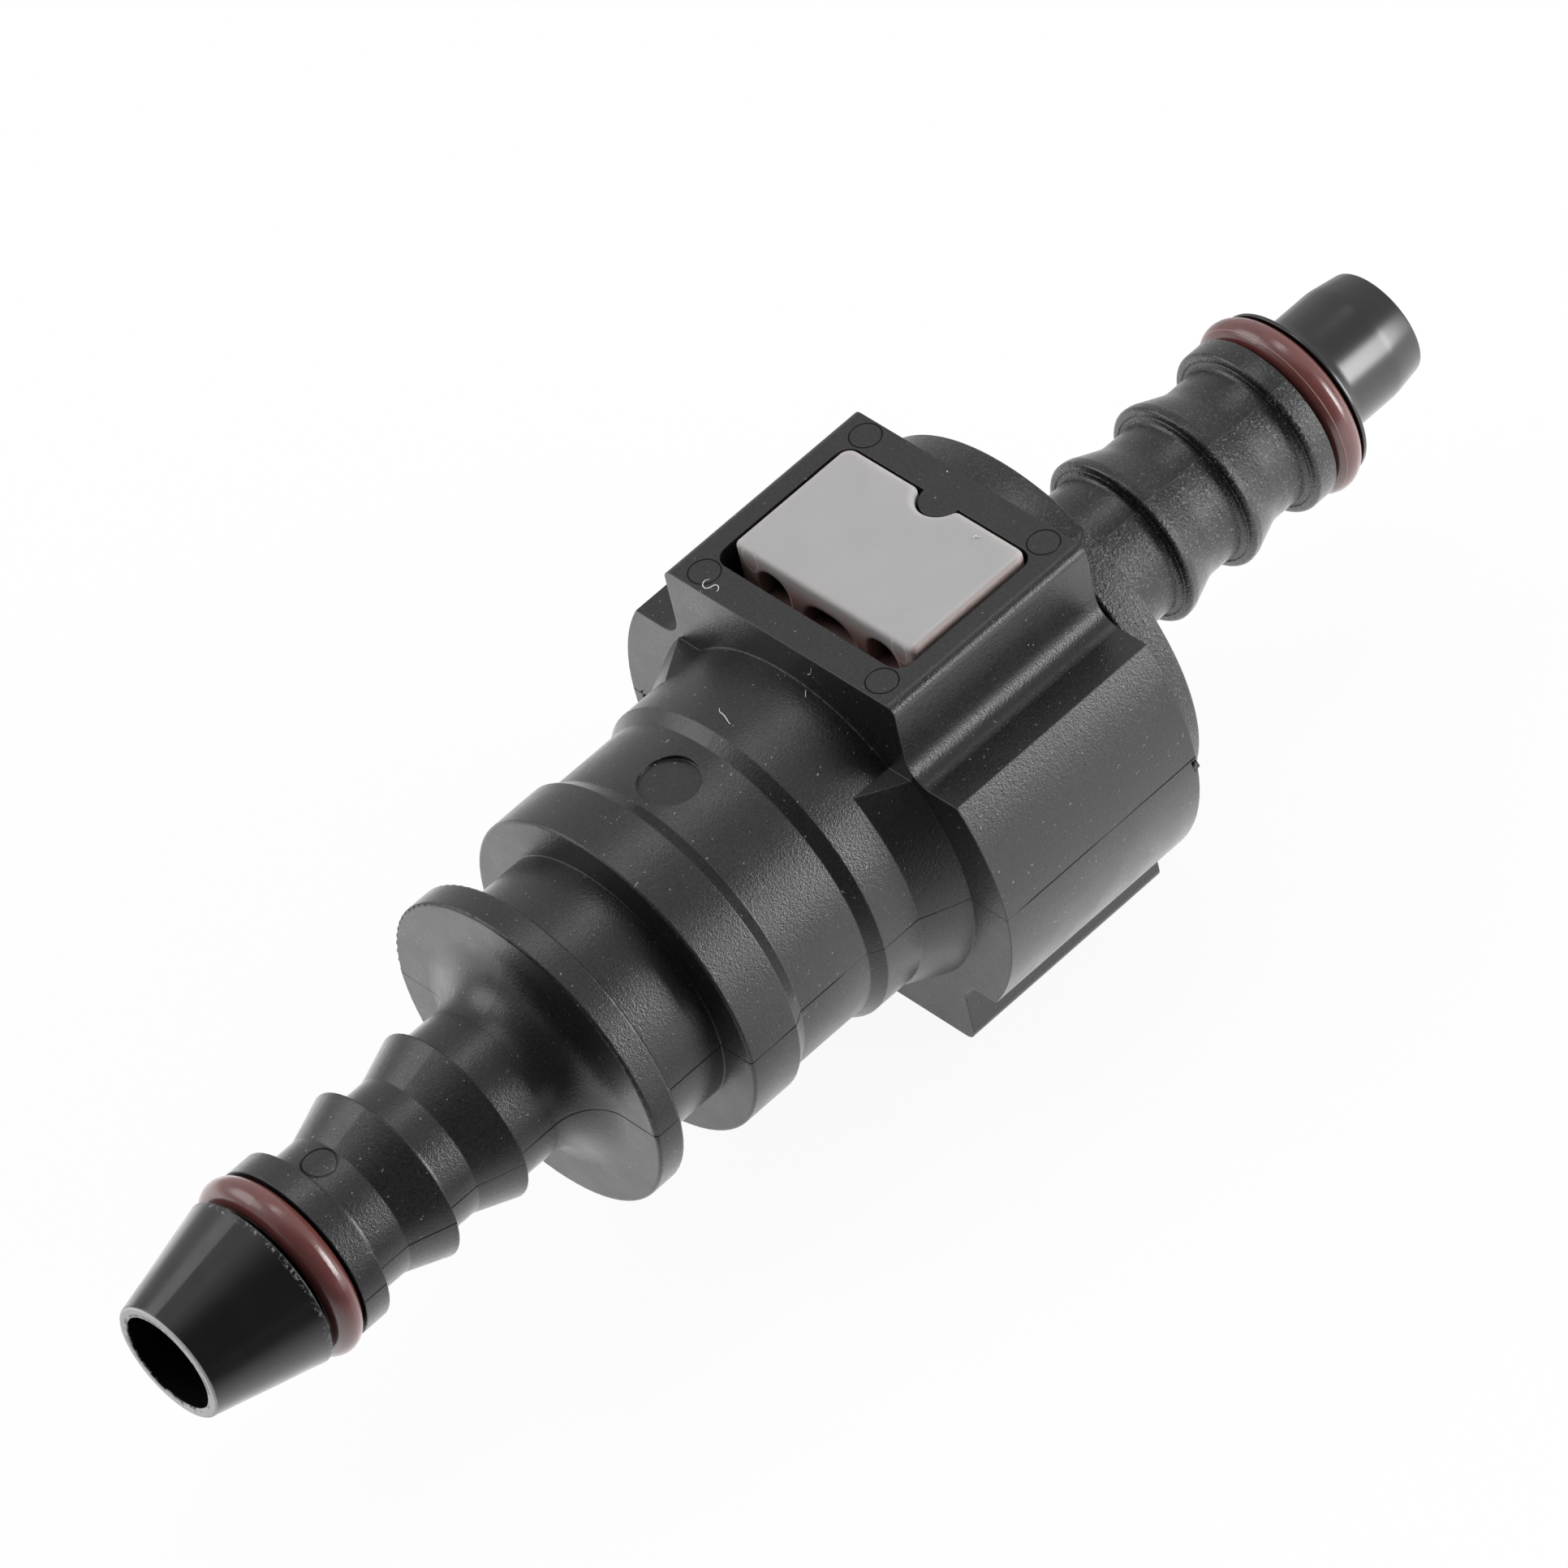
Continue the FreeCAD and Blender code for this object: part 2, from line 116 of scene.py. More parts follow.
def outside(mask):
    """1 where a mask is 0: one less the mask."""
    return node("Math", 1, mask, operation="SUBTRACT")


def line(value, centre, width, soft=0.3):
    """1 within width of centre and 0 beyond: a smooth step down of |value - centre|."""
    off = node("Math", node("Math", value, centre, operation="SUBTRACT"), operation="ABSOLUTE")
    return node("MapRange", off, width * (1 - soft), width * (1 + soft), 1, 0, **smooth)


def reach(a, b):
    """Distance from a = b = 0: the root of a squared plus b squared."""
    squares = [node("Math", painted_side_shade, painted_side_shade, operation="MULTIPLY") for painted_side_shade in (a, b)]
    return node("Math", node("Math", *squares, operation="ADD"), operation="SQRT")


def pin_ring(a, b, radius, width):
    """Thin circle that an ejector pin leaves round a = b = 0."""
    return line(reach(a, b), radius, width)


def paint(under, colour, where, strength=1.0):
    """Lays a colour over another: under + strength x where x (colour - under)."""
    # The colours are the node's seventh and eighth inputs.
    return node("Mix", overlap(where, strength), *[None] * 5, under, colour, out=2, data_type="RGBA")


def dress(name, material):
    """Puts a material on a CAD node."""
    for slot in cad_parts[name].material_slots:
        slot.material = material


socket_nylon = bpy.data.materials.new("black nylon, fine grain")
tree = emptied(socket_nylon)
place, x, y, z = millimetres()
radius = reach(y, z)
polish = node("MapRange", x, nose_end, nose_end + 0.1, 1, 0, **smooth)
grained = outside(polish)
# The line between the tool's halves comes and goes over some 5 mm, and doesn't cross the open rim.
faded = node("MapRange", node("TexNoise", Vector=place, Scale=0.22, Detail=1), 0.36, 0.56, 0.25, 1, **smooth)
past_rim = node("MapRange", radius, rim_radius, rim_radius + 0.1, **smooth)
parting = overlap(line(z, 0, parting_width), past_rim, grained, faded)
from_middle = node("Math", node("Math", x, frame_middle, operation="SUBTRACT"), operation="ABSOLUTE")
frame_pins = pin_ring(
    node("Math", from_middle, pin_along, operation="SUBTRACT"),
    node("Math", node("Math", y, operation="ABSOLUTE"), pin_across, operation="SUBTRACT"),
    frame_pin_radius, frame_ring_width)
frame_pins = overlap(frame_pins, node("MapRange", z, frame_top - 0.2, frame_top, **smooth))
neck_pin = pin_ring(node("Math", x, neck_middle, operation="SUBTRACT"), y, neck_pin_radius,
                    neck_ring_width)
neck_pin = overlap(neck_pin, line(z, neck_top, 0.35), node("MapRange", y, -0.8, 0.3, 0.35, 1, **smooth))
lines = node("Math", node("Math", frame_pins, neck_pin, operation="MAXIMUM"), parting, operation="MAXIMUM")

# The real grain is about 0.03 mm. It is drawn as coarse as 0.08 to 0.14 mm, because finer doesn't show.
mottle = node("TexNoise", Vector=place, Scale=7, Detail=3, Roughness=0.65)
grit = node("TexNoise", Vector=place, Scale=12, Detail=2, Roughness=0.6)
# Pale specks up to 0.2 mm wide: a few grains of dust that cling to it, and painted glints of the grain.
dust_and_glints = node("MapRange", node("TexNoise", Vector=place, Scale=5, Detail=1), 0.735, 0.775, **smooth)
black = paint(linear("#141415"), linear("#242426"), node("MapRange", mottle, 0.32, 0.68, **smooth))
black = paint(black, linear("#2e2e2f"), node("MapRange", grit, 0.55, 0.75, **smooth), 0.35)
black = paint(black, linear("#b4b4b4"), dust_and_glints, 0.38)
black = paint(black, linear("#040404"), lines)
black = paint(black, linear("#0c0c0d"), polish)

# The stem's cut rim is paler with a torn inner edge, and the cone's rear edge is frayed.
torn = node("TexNoise", Vector=place, Scale=1.3, Detail=5, Roughness=0.7)
torn = overlap(node("MapRange", torn, 0.45, 0.56, **smooth),
               node("MapRange", radius, mouth_radius, mouth_radius + 0.14, 1, 0, **smooth))
rim = overlap(node("MapRange", x, 0.03, rim_depth, 1, 0, **smooth), outside(torn))
black = paint(black, linear("#d8d8d8"), rim)
frayed = node("TexNoise", Vector=place, Scale=5, Detail=4, Roughness=0.7)
frayed = overlap(line(x, nose_end, 0.12, 0.6), node("MapRange", frayed, 0.53, 0.62, **smooth),
                 node("MapRange", radius, fray_radius - 0.1, fray_radius, **smooth))
black = paint(black, linear("#8e8e8e"), frayed, 0.7)

# A pale witness line marks where the barrel enters the block.
witness = node("TexNoise", Vector=place, Scale=3.5, Detail=3, Roughness=0.7)
witness = overlap(line(x, block_front, witness_width), line(radius, barrel_radius, 0.12),
                  node("MapRange", z, 6.1, 7.4, **smooth),
                  node("MapRange", witness, 0.38, 0.62, 0.1, 1, **smooth))
black = paint(black, linear("#8a8a8a"), witness, 0.35)

# Handling left it a little smoother in patches of 1 to 2 mm.
rough = node("MapRange", node("TexNoise", Vector=place, Scale=0.6, Detail=2), 0.3, 0.7, 0.26, 0.32, **smooth)
rough = node("Math", rough, overlap(polish, 0.04), operation="SUBTRACT")
dull = node("Math", lines, rim, operation="MAXIMUM")
rough = node("Math", rough, overlap(dull, 0.35), operation="ADD", use_clamp=True)
# Its edges are rounded by about 0.1 mm. The grain is about 0.01 mm deep, and the tool's lines 0.08 mm.
worn_edge = node("Bevel", Radius=0.10 * MM, samples=6)
relief = node("Bump", Strength=grained, Distance=0.013 * MM, Height=mottle, Normal=worn_edge)
relief = node("Bump", Strength=grained, Distance=0.012 * MM, Height=grit, Normal=relief)
relief = node("Bump", Strength=0.9, Distance=0.08 * MM, Height=outside(lines), Normal=relief)
relief = node("Bump", Strength=0.7, Distance=0.04 * MM, Height=frayed, Normal=relief)
gloss = node("Math", 0.5, overlap(lines, 0.35), operation="SUBTRACT")
surface = node("BsdfPrincipled", Base_Color=black, Roughness=rough, Normal=relief, Specular_IOR_Level=gloss)
node("OutputMaterial", Surface=surface)
dress("socket_body", socket_nylon)


# Four O-rings of red-brown fluoroelastomer, compression moulded with a satin gloss: one in the groove of
# each hose stem, where the tube squeezes it, and two round the spigot. The plug stem's ring shows the fine
# flash of its tool.
flash_place, flash_width = 69.40, 0.022

brown_rubber = bpy.data.materials.new("red-brown fluoroelastomer")
tree = emptied(brown_rubber)
place, x, y, z = millimetres()
brown = paint(linear("#5b302e"), linear("#6b3c39"), node("TexNoise", Vector=place, Scale=1.2, Detail=3))
flash = line(x, flash_place, flash_width)
brown = paint(brown, linear("#b08a80"), flash, 0.6)
# The mould's blasted skin, about 0.1 mm fine, only softens the gloss.
skin = node("TexNoise", Vector=place, Scale=8, Detail=2)
relief = node("Bump", Strength=1, Distance=0.006 * MM, Height=skin)
relief = node("Bump", Strength=0.8, Distance=0.03 * MM, Height=flash, Normal=relief)
surface = node("BsdfPrincipled", Base_Color=brown, Roughness=0.24, Normal=relief, Specular_IOR_Level=0.7)
node("OutputMaterial", Surface=surface)
for ring in ("socket_stem_o_ring", "plug_stem_o_ring", "spigot_o_ring_inner", "spigot_o_ring_outer"):
    dress(ring, brown_rubber)


# Spacer and guide bush: plain rings moulded in dark nylon. The spacer keeps the spigot's seals apart, and
# the bush snaps into the barrel behind them. Both lie deep inside and hardly show.
bush_nylon = bpy.data.materials.new("dark nylon")
tree = emptied(bush_nylon)
node("OutputMaterial", Surface=node("BsdfPrincipled", Base_Color=linear("#2b2b2b"), Roughness=0.55))
for ring in ("seal_spacer", "seal_bush"):
    dress(ring, bush_nylon)


# Release clip: button pad, locking frame and bow spring in one smooth moulding of light grey acetal, which
# slides in the housing. It lets some light through. Painted red-brown shade deepens below the pad's edge, on
# the top of its side walls and into its dark pockets. Two ejector pins left pale ovals on the pad's front
# face.
pad_front, pad_edge_level, pad_half_width = 43.0, 10.75, 5.6
oval_across, oval_level, oval_radius, oval_ring_width = 4.66, 10.30, 0.45, 0.05

clip_acetal = bpy.data.materials.new("light grey acetal")
tree = emptied(clip_acetal)
place, x, y, z = millimetres()
across = node("Math", y, operation="ABSOLUTE")
grey = paint(linear("#a8a7a8"), linear("#b0afaf"), node("TexNoise", Vector=place, Scale=0.5, Detail=2))
depth = node("Math", pad_edge_level, z, operation="SUBTRACT")
# Painted red-brown shade that deepens below the pad's edge, for light let through into the gaps.
grey = paint(grey, linear("#b08f88"), node("MapRange", depth, 0.10, 1.3, 0, 0.9, **smooth))
# Painted brown shade along the top of the pad's side walls.
painted_side_shade = overlap(node("MapRange", across, pad_half_width - 0.24, pad_half_width, **smooth),
               node("MapRange", depth, 0.5, 0.2, **smooth))
grey = paint(grey, linear("#87726c"), painted_side_shade, 0.75)
# The ovals are wider across than they are high, so heights count 0.62.
oval_height = overlap(node("Math", z, oval_level, operation="SUBTRACT"), 0.62)
ovals = pin_ring(node("Math", across, oval_across, operation="SUBTRACT"), oval_height, oval_radius,
                 oval_ring_width)
ovals = overlap(ovals, node("MapRange", x, pad_front, pad_front - 0.05, **smooth))
grey = paint(grey, linear("#e2d6d3"), ovals, 0.5)
# Painted dark shade inside the pad's pockets, weaker in the pocket towards negative y.
painted_pocket_shade = overlap(node("MapRange", x, pad_front + 0.05, pad_front + 1.1, **smooth),
                 node("MapRange", depth, 0.5, 0.75, **smooth),
                 node("MapRange", y, -3.2, -2.3, 0.1, 1, **smooth))
grey = paint(grey, linear("#1c1514"), painted_pocket_shade)
# The mould's finish is about 0.1 mm fine, and the pad's edges are rounded by about 0.2 mm.
soft_edge = node("Bevel", Radius=0.22 * MM, samples=6)
skin = node("TexNoise", Vector=place, Scale=9, Detail=2)
relief = node("Bump", Strength=1, Distance=0.006 * MM, Height=skin, Normal=soft_edge)
surface = node("BsdfPrincipled", Base_Color=grey, Roughness=0.38, Normal=relief, Subsurface_Weight=0.9,
               Subsurface_Radius=(1.0, 0.66, 0.60), Subsurface_Scale=0.9 * MM)
node("OutputMaterial", Surface=surface)
dress("release_clip", clip_acetal)


# Plug half: spigot with locking bead, disc and three-barb hose stem in one moulding of black nylon, turned
# here about the flow axis. Its tool was eroded coarsely, so its flanks sparkle, helped by pale flecks of
# painted glints. The sectors at the top and the bottom are smoother, with a faint seam between, and the
# nose past the stem's ring is polished.
root, crest, bore, spigot_bore, step_radius = 3.71, 4.43, 2.5, 3.3, 4.03
spigot_end, spigot, spigot_tip = 24.05, 4.745, 4.395
bead_start, bead_crest, bead_end, bead = 40.97, 41.77, 42.62, 5.6
shoulder_start, shoulder = 50.27, 5.855
disc_start, disc_end, disc = 52.17, 54.0, 10.02
barbs, barb_length = (59.4, 63.55, 67.7), 2.2
groove_start, groove_end, groove = 68.9, 70.7, 3.12
nose_start, nose_middle, plug_end, nose, nose_tip = 70.9, 74.6, 76.3, 3.05, 2.78


def rounded_outline(corners):
    """Closed outline; a corner's third value is its rounding radius.

    An arc's centre lies on the corner's bisector, its radius over the sine of the half angle away.
    """
    points = []
    for index, corner in enumerate(corners):
        here = np.array(corner[:2], float)
        if len(corner) < 3:
            points.append(here[None])
            continue
        back = np.array(corners[index - 1][:2], float) - here
        ahead = np.array(corners[(index + 1) % len(corners)][:2], float) - here
        back /= np.linalg.norm(back)
        ahead /= np.linalg.norm(ahead)
        half = math.acos(float(np.clip(back @ ahead, -1, 1))) / 2
        inward = (back + ahead) / np.linalg.norm(back + ahead)
        centre = here + inward * corner[2] / math.sin(half)
        first = here + back * corner[2] / math.tan(half) - centre
        last = here + ahead * corner[2] / math.tan(half) - centre
        sweep = math.pi - 2 * half
        steps = max(3, round(math.degrees(sweep) / 14))
        turn = np.sign(first[0] * last[1] - first[1] * last[0])
        angles = turn * sweep * np.arange(steps + 1)[:, None] / steps
        points.append(centre + first * np.cos(angles) + np.array([-first[1], first[0]]) * np.sin(angles))
    return np.concatenate(points)


def grid_faces(rows, columns, closed_rows=True):
    """Quads between neighbours on a grid whose columns, and rows if closed, run round to the start."""
    starts = np.arange(rows if closed_rows else rows - 1)
    row, column = np.meshgrid(starts, np.arange(columns), indexing="ij")
    below, beside = (row + 1) % rows, (column + 1) % columns
    corners = [row * columns + column, below * columns + column,
               below * columns + beside, row * columns + beside]
    return np.stack(corners, -1).reshape(-1, 4)


def turned(name, corners, around=160):
    """Outline (x, radius) turned about the flow axis: (x, radius cos a, radius sin a)."""
    outline = rounded_outline(corners)
    angles = np.linspace(0, 2 * math.pi, around, endpoint=False)
    along = np.repeat(outline[:, :1], around, 1)
    sideways = outline[:, 1:] * np.cos(angles)
    upwards = outline[:, 1:] * np.sin(angles)
    points = np.stack([along, sideways, upwards], -1).reshape(-1, 3) * MM
    mesh = bpy.data.meshes.new(name)
    mesh.from_pydata(points.tolist(), [], grid_faces(len(outline), around).tolist())
    mesh.validate()
    mesh.shade_smooth()
    mesh.set_sharp_from_angle(angle=math.radians(32))
    piece = bpy.data.objects.new(name, mesh)
    bpy.context.scene.collection.objects.link(piece)
    return piece


def barb_face(start):
    """Steep face of a barb with the fine step of its tool, from the root up to the rounded crest."""
    return [(start, root, 0.3), (start, step_radius - 0.05), (start - 0.05, step_radius),
            (start, step_radius + 0.05), (start, crest, 0.2)]


outline = [
    (spigot_end, spigot_bore), (spigot_end, spigot_tip, 0.1), (spigot_end + 0.7, spigot),
    (bead_start, spigot), (bead_crest, bead), (bead_end, bead, 0.1), (bead_end, spigot),
    (shoulder_start, spigot), (shoulder_start, shoulder, 0.15), (disc_start, shoulder),
    (disc_start, disc, 0.15), (disc_end, disc, 0.15), (disc_end, root, 0.4),
]
for start in barbs[:2]:
    outline += barb_face(start) + [(start + 0.5, crest - 0.05, 0.5), (start + barb_length, root, 2.0)]
outline += barb_face(barbs[2]) + [
    (groove_start, crest, 0.05), (groove_start, groove), (groove_end, groove), (groove_end, crest, 0.05),
    (nose_start, crest, 0.06), (nose_start, nose, 1.15), (nose_middle, nose, 3.0),
    (plug_end, nose_tip, 0.15), (plug_end, bore),
    (disc_end + 1.65, bore, 1.0), (disc_start + 0.18, spigot_bore, 1.0),
]
plug = turned("plug", outline)

plug_nylon = bpy.data.materials.new("black nylon, coarse grain")
tree = emptied(plug_nylon)
place, x, y, z = millimetres()
# The smooth sectors reach 29.5 degrees to either side of upright, where |y| is 0.566 |z|.
upright = overlap(node("Math", z, operation="ABSOLUTE"), 0.566)
flank = node("Math", node("Math", y, operation="ABSOLUTE"), upright, operation="SUBTRACT")
coarse = node("MapRange", flank, -0.04, 0.04, 0.4, 1, **smooth)
polish = node("MapRange", x, nose_start - 0.35, nose_start - 0.25, **smooth)
grained = overlap(outside(polish), coarse)
stem = overlap(node("MapRange", x, disc_end + 0.2, disc_end + 0.4, **smooth), outside(polish))
# The real grain is about 0.1 mm. It is drawn as coarse as 0.12 to 0.18 mm, because finer doesn't show.
mottle = node("TexNoise", Vector=place, Scale=5.5, Detail=4, Roughness=0.7)
grit = node("TexNoise", Vector=place, Scale=8, Detail=2, Roughness=0.6)
# Pale flecks on the grained flanks are painted glints.
painted_glints = overlap(node("MapRange", grit, 0.58, 0.70, **smooth), grained)
black = paint(linear("#101011"), linear("#222223"), node("MapRange", mottle, 0.35, 0.65, **smooth))
black = paint(black, linear("#a0a0a0"), painted_glints, 0.38)
black = paint(black, linear("#9a9a9a"), overlap(line(flank, 0, 0.03), stem), 0.06)
black = paint(black, linear("#0c0c0d"), polish)
gloss = node("Math", 0.5, overlap(polish, 0.15), operation="ADD")
rough = node("Math", 0.22, overlap(polish, 0.05), operation="ADD")
relief = node("Bump", Strength=grained, Distance=0.045 * MM, Height=mottle)
relief = node("Bump", Strength=grained, Distance=0.035 * MM, Height=grit, Normal=relief)
surface = node("BsdfPrincipled", Base_Color=black, Roughness=rough, Normal=relief, Specular_IOR_Level=gloss)
node("OutputMaterial", Surface=surface)
plug.data.materials.append(plug_nylon)
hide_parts("plug_body")
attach(plug, "plug")


# Lint and dust that lay on the photographed part: white fibres and grains on the barrel, on the frame round
# the button and on the button itself, which carries its own along when it is pressed.
def fibre(path, thickness=0.028, sides=6):
    """Thin thread on a Catmull-Rom curve through the path's points, (2 p1 + (p2 - p0) t + ...) / 2.

    Its rings are thickness x (0.45 + 0.55 sin(pi share)) in radius, so it tapers at both ends.
    """
    path = np.array(path, float)
    before, start = np.concatenate([path[:1], path[:-2]]), path[:-1]
    end, after = path[1:], np.concatenate([path[2:], path[-1:]])
    t = np.linspace(0, 1, 5)[:-1, None, None]
    curve = 0.5 * (2 * start + (end - before) * t + (2 * before - 5 * start + 4 * end - after) * t ** 2
                   + (3 * start - before - 3 * end + after) * t ** 3)
    fine = np.concatenate([curve.transpose(1, 0, 2).reshape(-1, 3), path[-1:]])
    along = np.concatenate([fine[1:], fine[-1:]]) - np.concatenate([fine[:1], fine[:-1]])
    along /= np.linalg.norm(along, axis=1, keepdims=True)
    first = np.cross(along, (0.3, 0.2, 1.0))
    first /= np.linalg.norm(first, axis=1, keepdims=True)
    second = np.cross(along, first)
    size = thickness * (0.45 + 0.55 * np.sin(math.pi * np.linspace(0, 1, len(fine))))[:, None, None]
    angles = np.linspace(0, 2 * math.pi, sides, endpoint=False)[None, :, None]
    rings = fine[:, None] + size * (np.cos(angles) * first[:, None] + np.sin(angles) * second[:, None])
    faces = grid_faces(len(fine), sides, closed_rows=False)[:, [0, 3, 2, 1]].tolist()
    caps = [list(reversed(range(sides))), list(range((len(fine) - 1) * sides, len(fine) * sides))]
    return rings.reshape(-1, 3), faces + caps


def speck(centre, size):
    """Small grain: an octahedron with its corners size away from the centre."""
    corners = np.array([(1, 0, 0), (-1, 0, 0), (0, 1, 0), (0, -1, 0), (0, 0, 1), (0, 0, -1)])
    faces = [(0, 2, 4), (2, 1, 4), (1, 3, 4), (3, 0, 4), (2, 0, 5), (1, 2, 5), (3, 1, 5), (0, 3, 5)]
    return np.array(centre) + size * corners, faces


def scattered(name, parts, material, body):
    """Several (points, faces) as one piece that rides on a body."""
    points, faces = [], []
    for part_points, part_faces in parts:
        faces += [tuple(len(points) + index for index in face) for face in part_faces]
        points += (np.array(part_points) * MM).tolist()
    mesh = bpy.data.meshes.new(name)
    mesh.from_pydata(points, [], faces)
    mesh.shade_smooth()
    mesh.materials.append(material)
    piece = bpy.data.objects.new(name, mesh)
    bpy.context.scene.collection.objects.link(piece)
    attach(piece, body)


lint_white = bpy.data.materials.new("white lint")
tree = emptied(lint_white)
node("OutputMaterial", Surface=node("BsdfPrincipled", Base_Color=linear("#d9d9d9"), Roughness=0.8))
scattered("lint_on_socket", [
    fibre([(40.84, 5.01, 10.62), (40.64, 5.14, 10.62), (40.40, 5.03, 10.62), (40.33, 4.78, 10.62),
           (40.48, 4.66, 10.62), (40.71, 4.60, 10.62), (40.77, 4.44, 10.62), (40.67, 4.29, 10.62),
           (40.49, 4.23, 10.62)]),
    fibre([(36.79, 0.86, 8.52), (36.64, 0.66, 8.53), (36.61, 0.44, 8.54), (36.53, 0.17, 8.55),
           (36.42, -0.10, 8.55), (36.38, -0.26, 8.55)]),
    fibre([(40.03, -1.98, 10.04), (40.03, -1.96, 9.85), (40.03, -1.82, 9.55), (40.03, -1.61, 9.40)], 0.02),
    fibre([(39.90, -1.42, 8.43), (39.74, -1.56, 8.41), (39.58, -1.71, 8.38)], 0.022),
    speck((36.40, -0.40, 8.54), 0.03),
    speck((40.03, -1.98, 9.44), 0.03),
    speck((51.73, 0.98, 10.61), 0.05),
    speck((47.88, -7.21, 7.94), 0.04),
    speck((48.14, -7.21, 7.72), 0.035),
], lint_white, "socket")
scattered("lint_on_button", [
    fibre([(49.29, -3.03, 10.92), (49.39, -3.06, 10.92), (49.52, -3.05, 10.92), (49.49, -3.19, 10.92),
           (49.57, -3.30, 10.92)], 0.035),
    speck((49.22, -2.78, 10.91), 0.03),
    speck((48.90, -3.09, 10.91), 0.025),
], lint_white, "clip")


# Burrs that the housing's tool left in the same nylon: a flake on the drum's rear rim at the parting line,
# grains on its front edge at the far side, and a few at the block's rear top corner.
flake = [(51.70, -11.78, -0.10), (52.03, -11.78, -0.15), (52.02, -12.00, -0.45), (51.85, -11.79, -0.85),
         (51.75, -11.70, -0.45)]
scattered("burrs", [
    (flake, [(0, 1, 2), (0, 2, 3), (0, 3, 4), (1, 3, 2), (1, 4, 3), (0, 4, 1)]),
    speck((40.04, 11.15, -0.10), 0.10),
    speck((40.03, 11.28, 0.08), 0.07),
    speck((40.04, 10.98, -0.28), 0.08),
    speck((52.03, -6.80, 10.42), 0.08),
    speck((52.06, -6.92, 10.20), 0.06),
    speck((52.05, -6.66, 10.08), 0.05),
    speck((52.04, -7.05, 10.02), 0.05),
], socket_nylon, "socket")


# Table of white paper under the part. The camera sees it as near white, with the part's shadow. In
# reflections it darkens with distance, most towards the photographer and less behind the part.
part_middle, table_reach, glow_share = 38.0, 3.0, 0.93


def facing(direction, start, end, most):
    """Smooth rise to most as the way from the part's middle turns to a direction: (x, y) . d / far."""
    parts = [overlap(painted_side_shade, share) for painted_side_shade, share in zip((x, y), direction)]
    share = node("Math", node("Math", *parts, operation="ADD"), away, operation="DIVIDE")
    return node("MapRange", share, start, end, 0, most, **smooth)


level = cad_low.z
corners = [(-table_reach, -table_reach, level), (table_reach, -table_reach, level),
           (table_reach, table_reach, level), (-table_reach, table_reach, level)]
table_mesh = bpy.data.meshes.new("floor")
table_mesh.from_pydata(corners, [], [(0, 1, 2, 3)])
table = bpy.data.objects.new("floor", table_mesh)
bpy.context.scene.collection.objects.link(table)

paper_white = bpy.data.materials.new("white paper")
tree = emptied(paper_white)
to_camera = node("LightPath", out="Is Camera Ray")
seen = node("Math", to_camera, node("LightPath", out="Is Glossy Ray"), operation="ADD", use_clamp=True)
seen = node("Math", seen, node("LightPath", out="Is Transmission Ray"), operation="ADD", use_clamp=True)
place, x, y, z = millimetres()
x = node("Math", x, part_middle, operation="SUBTRACT")
far = reach(x, y)
away = node("Math", far, 1, operation="MAXIMUM")
# A spot right under the part stays bright: aside is how far it lies from the axis or past the open stem.
past_stem = node("Math", node("Math", x, part_middle, operation="ADD"), 0, operation="MINIMUM")
aside = reach(past_stem, y)
near_side = overlap(facing((-0.87, -0.50), 0.35, 0.80, 0.9), node("MapRange", aside, 0, 36, **smooth))
behind = overlap(facing((0.64, 0.77), 0.45, 0.90, 0.55), node("MapRange", far, 10, 60, **smooth))
distant = node("MapRange", far, 40, 250, 1, 0.65, **smooth)
dim = overlap(outside(near_side), outside(behind), distant)
dim = node("Math", dim, to_camera, operation="MAXIMUM")
# For the camera most of the white is a glow, and only the rest takes the part's shadow.
tone = overlap(outside(overlap(to_camera, glow_share)), dim)
paper = node("BsdfDiffuse", Color=paint(linear("#000000"), linear("#f4f4f4"), tone))
glow = node("Emission", Strength=overlap(seen, glow_share, dim))
node("OutputMaterial", Surface=node("AddShader", paper, glow))
table_mesh.materials.append(paper_white)


# Light: a soft white tent, dark where the photographer stood, with a strip overhead, a lamp in front and a
# large soft box behind. The camera itself sees the tent as white.
dark_side = (-0.571, -0.779, 0.260)
tent = bpy.data.worlds.new("studio")
bpy.context.scene.world = tent
tree = emptied(tent)
toward = node("TexCoord", out="Generated")
toward = node("VectorMath", toward, dark_side, out="Value", operation="DOT_PRODUCT")
cloth = node("Background", linear("#ffffff"), node("MapRange", toward, 0.30, 0.70, 0.80, 0.15, **smooth))
white = node("Background", linear("#ffffff"), 1)
node("OutputWorld", Surface=node("MixShader", node("LightPath", out="Is Camera Ray"), cloth, white))


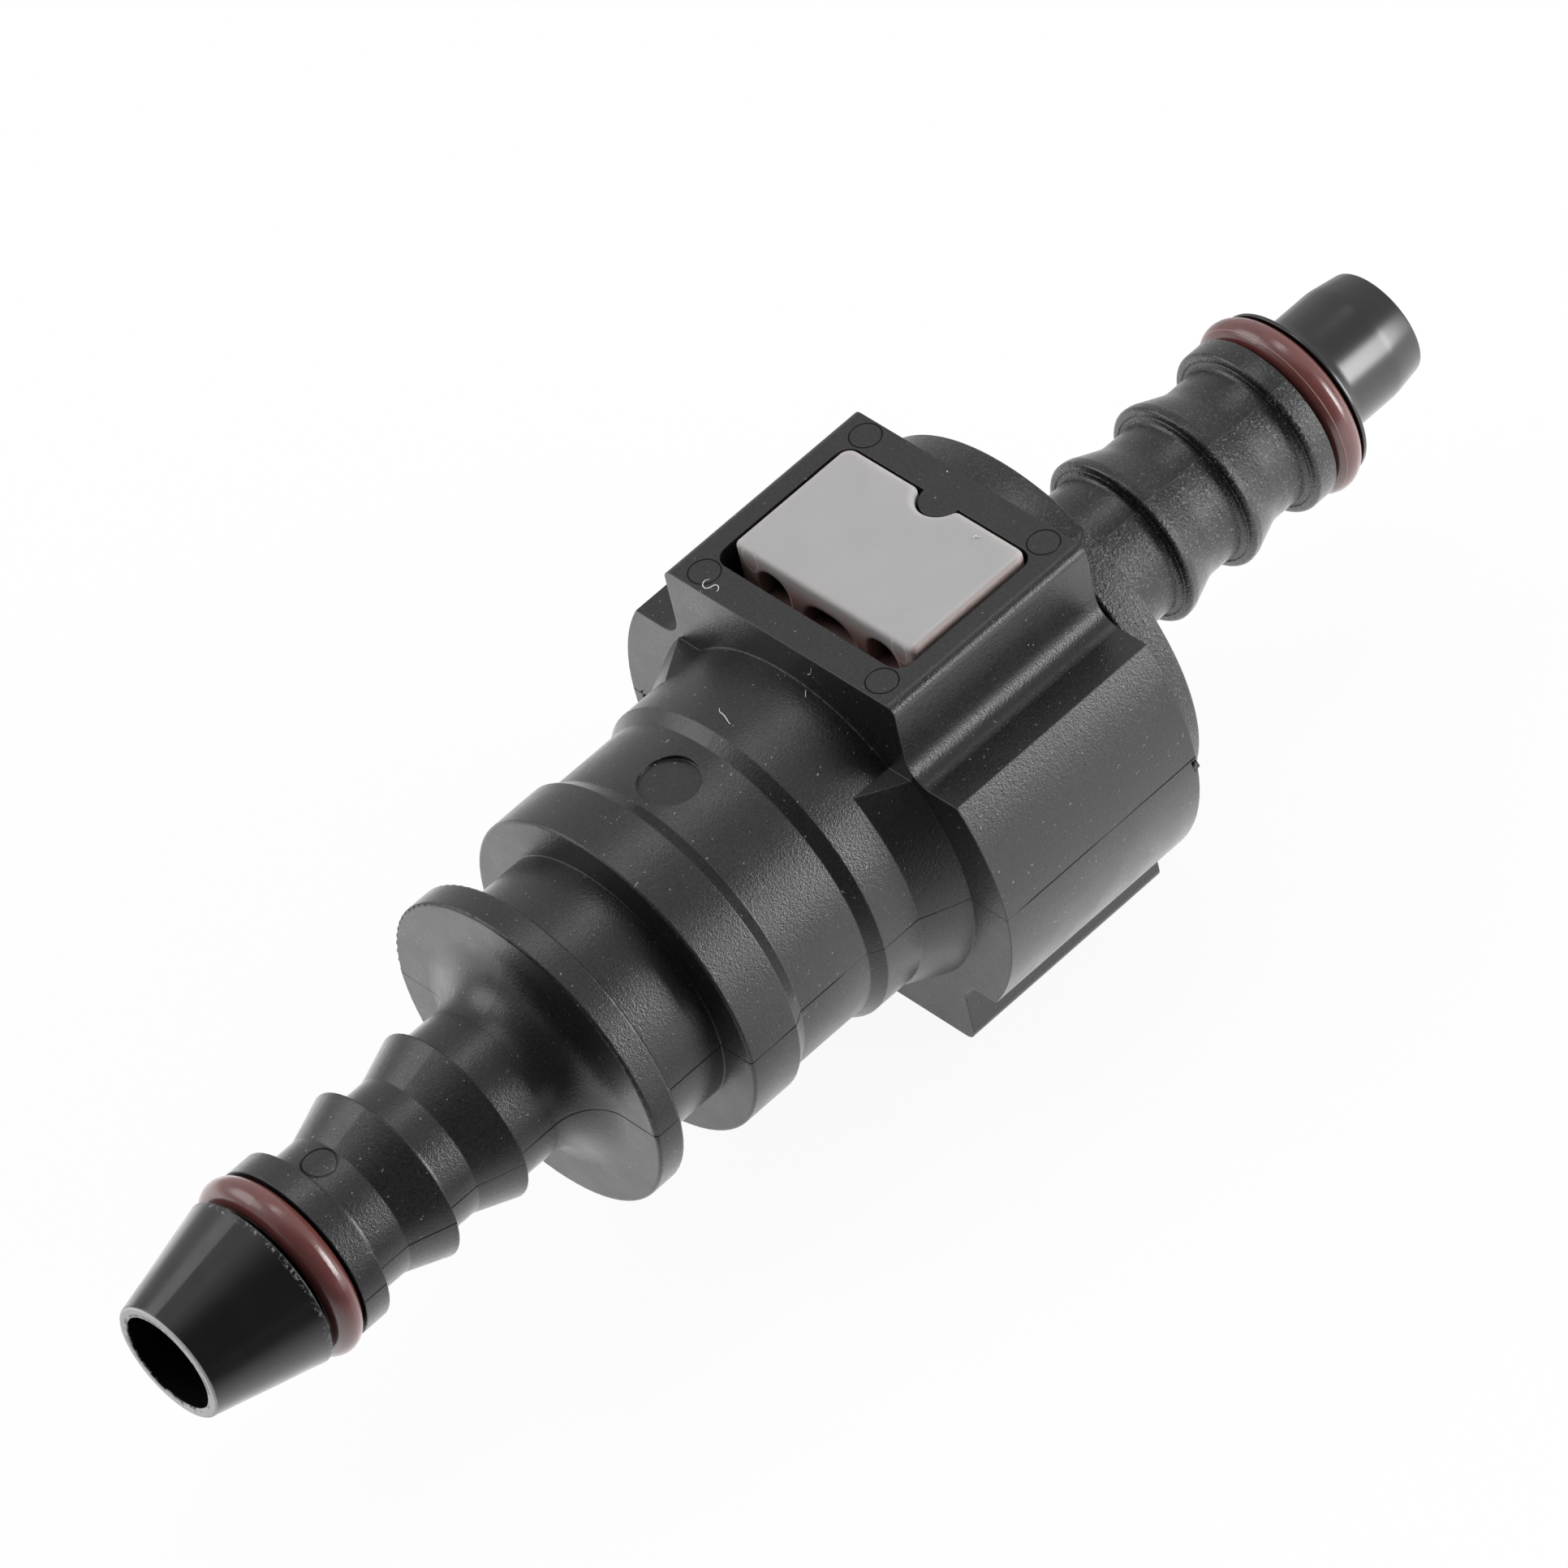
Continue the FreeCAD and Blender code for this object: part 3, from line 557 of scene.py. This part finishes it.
def lamp(name, direction, size, power, width=None, distance=450):
    """Lamp aimed at the part's middle, sizes in millimetres: a disc, or with a width a rectangle."""
    light = bpy.data.lights.new(name, "AREA")
    light.shape = "DISK" if width is None else "RECTANGLE"
    light.size = size * MM
    if width is not None:
        light.size_y = width * MM
    light.energy = power
    holder = bpy.data.objects.new(name, light)
    bpy.context.scene.collection.objects.link(holder)
    outward = Vector(direction).normalized()
    sideways = outward.cross(Vector((1, 0, 0))).normalized()
    lengthways = sideways.cross(outward)
    place = Matrix.Translation(Vector((part_middle, 0, 0)) * MM + outward * distance * MM)
    holder.matrix_world = place @ Matrix((lengthways, sideways, outward)).transposed().to_4x4()


lamp("overhead_strip", (0.20, 0.17, 0.95), 260, 0.26, 80)
lamp("front_lamp", (0.610, -0.755, 0.240), 160, 1.60, 240)
lamp("back_softbox", (-0.405, 0.700, 0.588), 340, 0.70)


# Camera with a long lens, at the photograph's viewing angle, roll and distance. The aim point appears at
# the centre pixel, a little off the middle of the square picture.
view_azimuth, view_elevation, view_roll = map(math.radians, (-34.586, 46.067, 14.248))
focal_pixels, picture_pixels, pixels_per_mm = 15556.0, 1932.0, 28.0
centre_pixel = (951.494, 1038.38)
aim_point = Vector((part_middle - 0.857, 0, 0))
ahead = -Vector((math.sin(view_azimuth) * math.cos(view_elevation),
                 -math.cos(view_azimuth) * math.cos(view_elevation),
                 math.sin(view_elevation)))
sideways = ahead.cross(Vector((0, 0, 1))).normalized()
downwards = ahead.cross(sideways)
right = sideways * math.cos(view_roll) + downwards * math.sin(view_roll)
down = downwards * math.cos(view_roll) - sideways * math.sin(view_roll)
distance = focal_pixels / pixels_per_mm
shift_right, shift_down = [(pixel - picture_pixels / 2) / pixels_per_mm for pixel in centre_pixel]
eye = aim_point - right * shift_right - down * shift_down - ahead * distance
lens = bpy.data.cameras.new("camera")
lens.sensor_width = 36
lens.lens = focal_pixels / picture_pixels * lens.sensor_width
lens.clip_start = 0.05
lens.clip_end = 20
camera = bpy.data.objects.new("camera", lens)
bpy.context.scene.collection.objects.link(camera)
camera.matrix_world = Matrix.Translation(eye * MM) @ Matrix((right, -down, -ahead)).transposed().to_4x4()
bpy.context.scene.camera = camera
bpy.context.scene.view_settings.view_transform = "Standard"
